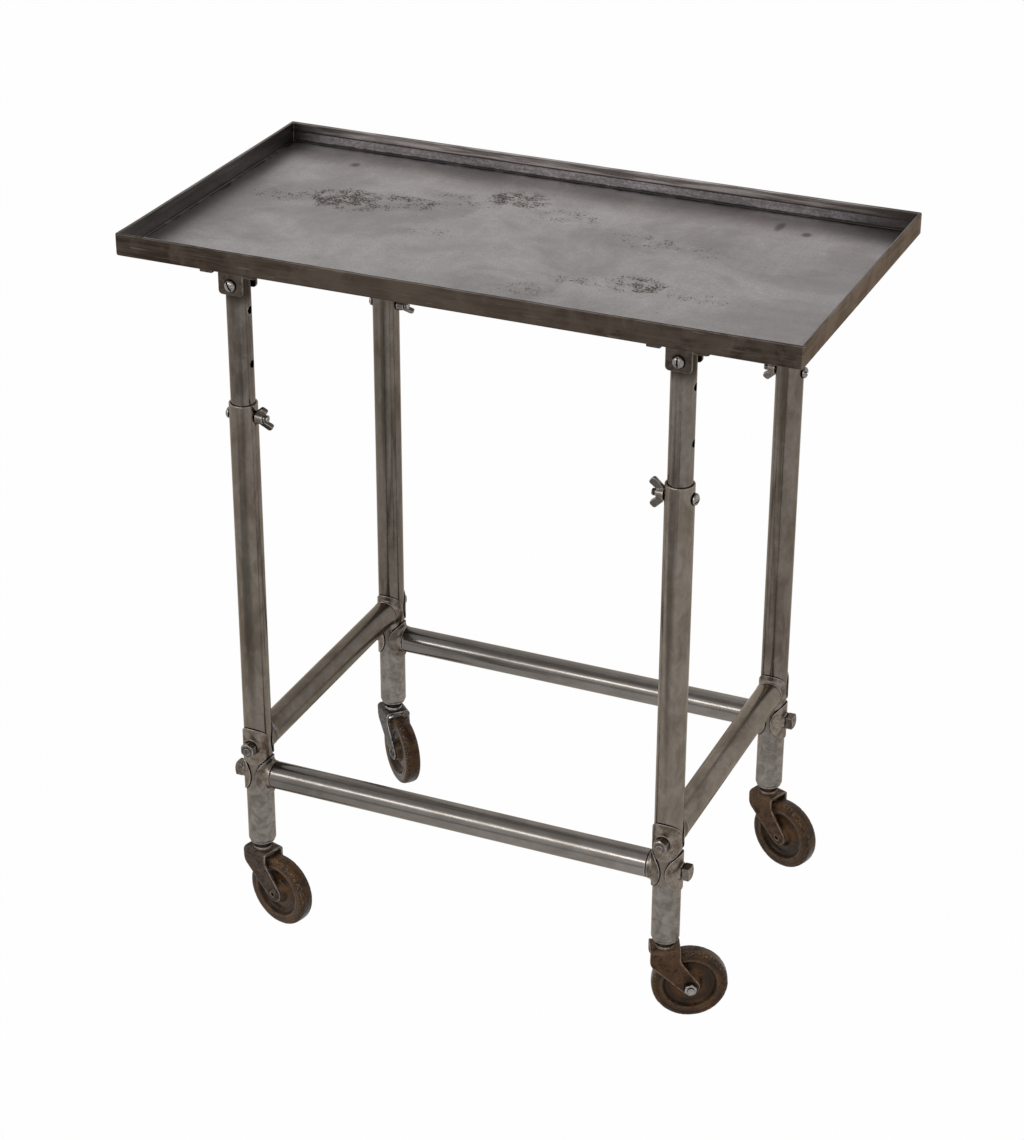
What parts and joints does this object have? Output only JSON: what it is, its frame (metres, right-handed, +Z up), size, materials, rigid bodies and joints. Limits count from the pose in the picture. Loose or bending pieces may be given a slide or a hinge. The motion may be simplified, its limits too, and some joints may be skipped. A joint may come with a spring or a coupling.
{
  "type": "mobile medical table",
  "caption": "Steel instrument table: a shallow hemmed tray on telescoping tube legs with wing-nut locks, bolted saddle-end stretchers and swivel casters.",
  "frame": {"origin": "on the floor below the middle of the tray, where the wheels stand", "axes": "+X along the tray's length to the right, +Y along its depth away from the front, +Z up"},
  "size_m": [0.762, 0.4114, 0.8382],
  "materials": {
    "tray_steel": "bare sheet steel, stained and pitted, satin",
    "bracket_steel": "bare dark steel, satin",
    "tube_steel": "bare steel tube, brown-grey, satin with fine lengthwise streaks",
    "bright_steel": "polished steel tube, lightly worn",
    "saddle_steel": "bare pressed steel, dark in the corners",
    "bolt_steel": "bare steel fasteners, worn bright on the edges",
    "socket_steel": "turned steel, dull",
    "rusted_steel": "stamped steel, brown with rust, edges worn",
    "wheel_rubber": "aged hard rubber, brown, matt"
  },
  "bodies": {
    "frame": {"leg_tube_fl": "tube_steel", "long_washer_fl": "saddle_steel", "side_washer_fl": "saddle_steel", "long_bolt_fl": "bolt_steel", "lock_bolt_fl": "bolt_steel", "caster_socket_fl": "socket_steel", "leg_tube_fr": "tube_steel", "long_washer_fr": "saddle_steel", "side_washer_fr": "saddle_steel", "long_bolt_fr": "bolt_steel", "lock_bolt_fr": "bolt_steel", "caster_socket_fr": "socket_steel", "leg_tube_bl": "tube_steel", "long_washer_bl": "saddle_steel", "side_washer_bl": "saddle_steel", "long_bolt_bl": "bolt_steel", "lock_bolt_bl": "bolt_steel", "caster_socket_bl": "socket_steel", "leg_tube_br": "tube_steel", "long_washer_br": "saddle_steel", "side_washer_br": "saddle_steel", "long_bolt_br": "bolt_steel", "lock_bolt_br": "bolt_steel", "caster_socket_br": "socket_steel", "long_stretcher_front": "bright_steel", "long_stretcher_back": "bright_steel", "side_stretcher_left": "tube_steel", "side_stretcher_right": "tube_steel", "tie_rod_left": "bolt_steel", "tie_rod_right": "bolt_steel"},
    "top": {"tray": "tray_steel", "tray_bracket_fl": "bracket_steel", "bracket_screw_fl": "bolt_steel", "inner_tube_fl": "tube_steel", "tray_bracket_fr": "bracket_steel", "bracket_screw_fr": "bolt_steel", "inner_tube_fr": "tube_steel", "tray_bracket_bl": "bracket_steel", "bracket_screw_bl": "bolt_steel", "inner_tube_bl": "tube_steel", "tray_bracket_br": "bracket_steel", "bracket_screw_br": "bolt_steel", "inner_tube_br": "tube_steel"},
    "wing_nut_fl": {"wing_nut_fl": "bolt_steel"},
    "caster_fl": {"caster_fork_fl": "rusted_steel", "wheel_axle_fl": "bolt_steel"},
    "wheel_fl": {"caster_wheel_fl": "wheel_rubber"},
    "wing_nut_fr": {"wing_nut_fr": "bolt_steel"},
    "caster_fr": {"caster_fork_fr": "rusted_steel", "wheel_axle_fr": "bolt_steel"},
    "wheel_fr": {"caster_wheel_fr": "wheel_rubber"},
    "wing_nut_bl": {"wing_nut_bl": "bolt_steel"},
    "caster_bl": {"caster_fork_bl": "rusted_steel", "wheel_axle_bl": "bolt_steel"},
    "wheel_bl": {"caster_wheel_bl": "wheel_rubber"},
    "wing_nut_br": {"wing_nut_br": "bolt_steel"},
    "caster_br": {"caster_fork_br": "rusted_steel", "wheel_axle_br": "bolt_steel"},
    "wheel_br": {"caster_wheel_br": "wheel_rubber"}
  },
  "joints": [
    {"name": "tray_lift", "type": "slide", "parent": "frame", "child": "top", "axis": [0, 0, 1], "range_m": [0, 0.1234]},
    {"name": "wing_nut_fl_turn", "type": "hinge", "parent": "frame", "child": "wing_nut_fl", "pos_m": [-0.2503, -0.1763, 0.6413], "axis": [1, 0, 0], "continuous": true},
    {"name": "caster_fl_swivel", "type": "hinge", "parent": "frame", "child": "caster_fl", "pos_m": [-0.2503, -0.1763, 0], "axis": [0, 0, 1], "continuous": true},
    {"name": "wheel_fl_roll", "type": "hinge", "parent": "caster_fl", "child": "wheel_fl", "pos_m": [-0.22304, -0.18463, 0.043], "axis": [0.2924, 0.9563, 0], "continuous": true},
    {"name": "wing_nut_fr_turn", "type": "hinge", "parent": "frame", "child": "wing_nut_fr", "pos_m": [0.2503, -0.1763, 0.6413], "axis": [-1, 0, 0], "continuous": true},
    {"name": "caster_fr_swivel", "type": "hinge", "parent": "frame", "child": "caster_fr", "pos_m": [0.2503, -0.1763, 0], "axis": [0, 0, 1], "continuous": true},
    {"name": "wheel_fr_roll", "type": "hinge", "parent": "caster_fr", "child": "wheel_fr", "pos_m": [0.27613, -0.16426, 0.043], "axis": [-0.4226, 0.9063, 0], "continuous": true},
    {"name": "wing_nut_bl_turn", "type": "hinge", "parent": "frame", "child": "wing_nut_bl", "pos_m": [-0.2503, 0.1763, 0.6413], "axis": [1, 0, 0], "continuous": true},
    {"name": "caster_bl_swivel", "type": "hinge", "parent": "frame", "child": "caster_bl", "pos_m": [-0.2503, 0.1763, 0], "axis": [0, 0, 1], "continuous": true},
    {"name": "wheel_bl_roll", "type": "hinge", "parent": "caster_bl", "child": "wheel_bl", "pos_m": [-0.22959, 0.15672, 0.043], "axis": [0.6871, 0.7266, 0], "continuous": true},
    {"name": "wing_nut_br_turn", "type": "hinge", "parent": "frame", "child": "wing_nut_br", "pos_m": [0.2503, 0.1763, 0.6413], "axis": [-1, 0, 0], "continuous": true},
    {"name": "caster_br_swivel", "type": "hinge", "parent": "frame", "child": "caster_br", "pos_m": [0.2503, 0.1763, 0], "axis": [0, 0, 1], "continuous": true},
    {"name": "wheel_br_roll", "type": "hinge", "parent": "caster_br", "child": "wheel_br", "pos_m": [0.27696, 0.16623, 0.043], "axis": [0.3535, 0.9354, 0], "continuous": true}
  ]
}
